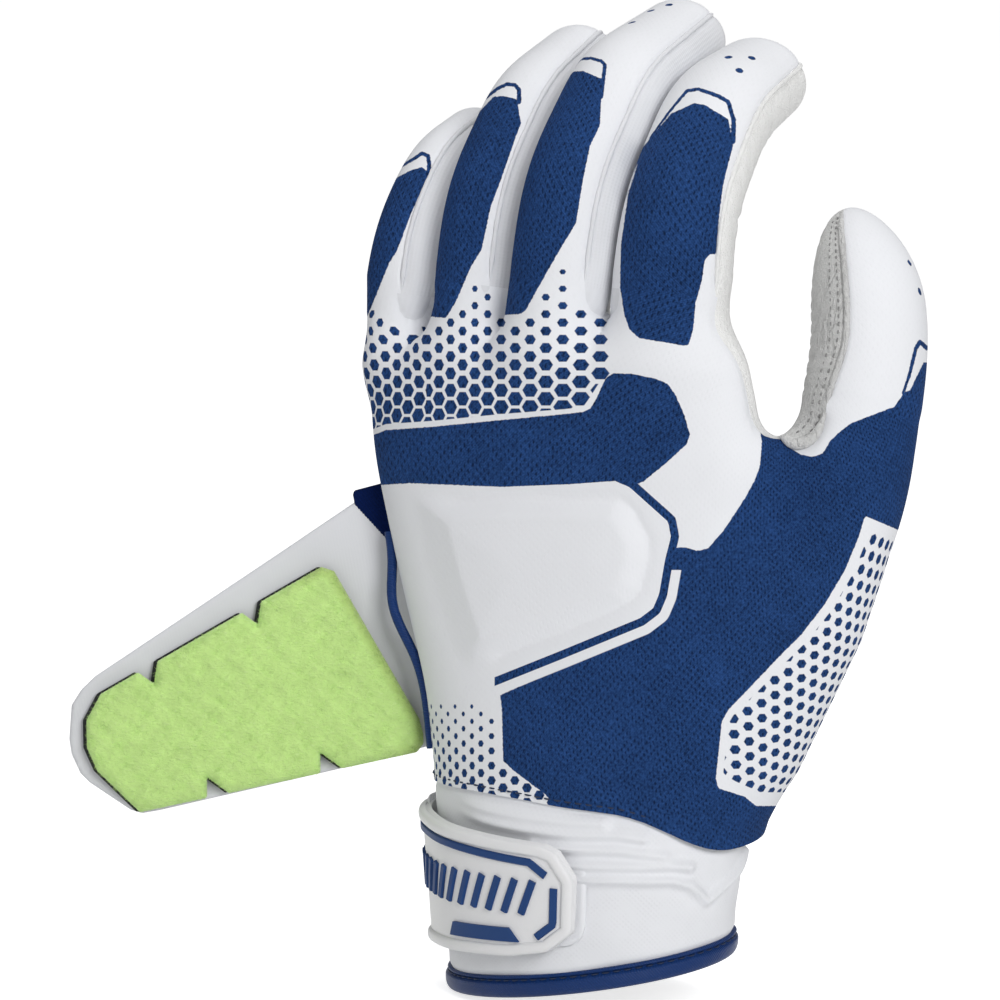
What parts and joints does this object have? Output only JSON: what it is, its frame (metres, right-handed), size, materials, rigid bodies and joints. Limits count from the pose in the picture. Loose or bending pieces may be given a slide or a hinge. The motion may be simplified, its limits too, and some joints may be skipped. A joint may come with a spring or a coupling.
{
  "type": "batting glove",
  "caption": "Left-hand batting glove in its worn shape, with knit back, leather palm and fingertips, wrist strap, padded back and a hinged padded leaf.",
  "frame": {"origin": "middle of the hem opening, where the wrist leaves the glove", "axes": "+X to the thumb side, +Y to the palm, +Z from hem to fingers"},
  "size_m": [0.1826, 0.097, 0.2149],
  "materials": {
    "white_knit": "stretch knit with a blue print",
    "blue_knit": "stretch mesh knit",
    "sheepskin": "fine grain glove leather",
    "white_lycra": "smooth coated lycra",
    "blue_binding": "folded binding tape",
    "white_rubber": "moulded, satin",
    "blue_rubber": "moulded, satin",
    "white_webbing": "elastic webbing and loop pile",
    "hook_plastic": "hook tape",
    "black_foam": "closed-cell foam",
    "lime_felt": "needled felt"
  },
  "bodies": {
    "hand": {"back_pad": "white_lycra", "back_panel": "white_knit", "cuff_loop_patch": "white_webbing", "cuff_sleeve": "white_lycra", "flap_piping": "blue_binding", "hem_binding": "blue_binding", "index_back": "white_knit", "index_leather": "sheepskin", "index_side": "white_knit", "middle_back": "white_knit", "middle_leather": "sheepskin", "middle_side_inner": "white_knit", "middle_side_outer": "white_knit", "palm_panel": "sheepskin", "pinky_back": "white_knit", "pinky_leather": "sheepskin", "pinky_side": "white_knit", "ring_back": "white_knit", "ring_leather": "sheepskin", "ring_side_inner": "white_knit", "ring_side_outer": "white_knit", "strap_anchor": "white_webbing", "thumb_back": "blue_knit", "thumb_leather": "sheepskin"},
    "index_tip": {"index_tip_back": "white_knit", "index_tip_leather": "sheepskin", "index_tip_side": "white_knit"},
    "middle_tip": {"middle_tip_back": "white_knit", "middle_tip_gusset": "white_knit", "middle_tip_leather": "sheepskin"},
    "ring_tip": {"ring_tip_back": "white_knit", "ring_tip_gusset": "white_knit", "ring_tip_leather": "sheepskin"},
    "pinky_tip": {"pinky_tip_back": "white_knit", "pinky_tip_leather": "sheepskin", "pinky_tip_side": "white_knit"},
    "thumb_tip": {"thumb_tip_back": "blue_knit", "thumb_tip_leather": "sheepskin"},
    "strap": {"strap_band": "white_webbing", "strap_hook_patch": "hook_plastic", "strap_tab": "white_rubber", "strap_rim": "white_rubber", "strap_trim_top": "blue_rubber", "strap_trim_end": "blue_rubber", "strap_trim_low": "blue_rubber"},
    "flap": {"flap_leaf": "white_lycra", "flap_corner": "blue_binding", "flap_foam": "black_foam", "flap_pad": "lime_felt"}
  },
  "joints": [
    {"name": "index_curl", "type": "hinge", "parent": "hand", "child": "index_tip", "pos_m": [0.01787, 0.01881, 0.16204], "axis": [-0.9998, 0, 0.0175], "range_deg": [0, 55], "stiffness_Nm_per_rad": 0.02},
    {"name": "middle_curl", "type": "hinge", "parent": "hand", "child": "middle_tip", "pos_m": [-0.00827, 0.0161, 0.16542], "axis": [-0.9986, 0, 0.0523], "range_deg": [0, 55], "stiffness_Nm_per_rad": 0.02},
    {"name": "ring_curl", "type": "hinge", "parent": "hand", "child": "ring_tip", "pos_m": [-0.03024, 0.01921, 0.16173], "axis": [-0.9994, 0, 0.0349], "range_deg": [0, 55], "stiffness_Nm_per_rad": 0.02},
    {"name": "pinky_curl", "type": "hinge", "parent": "hand", "child": "pinky_tip", "pos_m": [-0.0515, 0.0195, 0.15274], "axis": [-1, 0, 0], "range_deg": [0, 55], "stiffness_Nm_per_rad": 0.02},
    {"name": "thumb_curl", "type": "hinge", "parent": "hand", "child": "thumb_tip", "pos_m": [0.04269, 0.02577, 0.13008], "axis": [-0.2314, -0.9351, 0.2683], "range_deg": [0, 40], "stiffness_Nm_per_rad": 0.02},
    {"name": "strap_open", "type": "hinge", "parent": "hand", "child": "strap", "pos_m": [-0.0324, 0.0152, 0.0175], "axis": [0, 0, -1], "range_deg": [0, 110]},
    {"name": "flap_swing", "type": "hinge", "parent": "hand", "child": "flap", "pos_m": [-0.0552, 0.001, 0.104], "axis": [-0.2152, 0.0166, 0.9764], "range_deg": [-70, 35]}
  ]
}
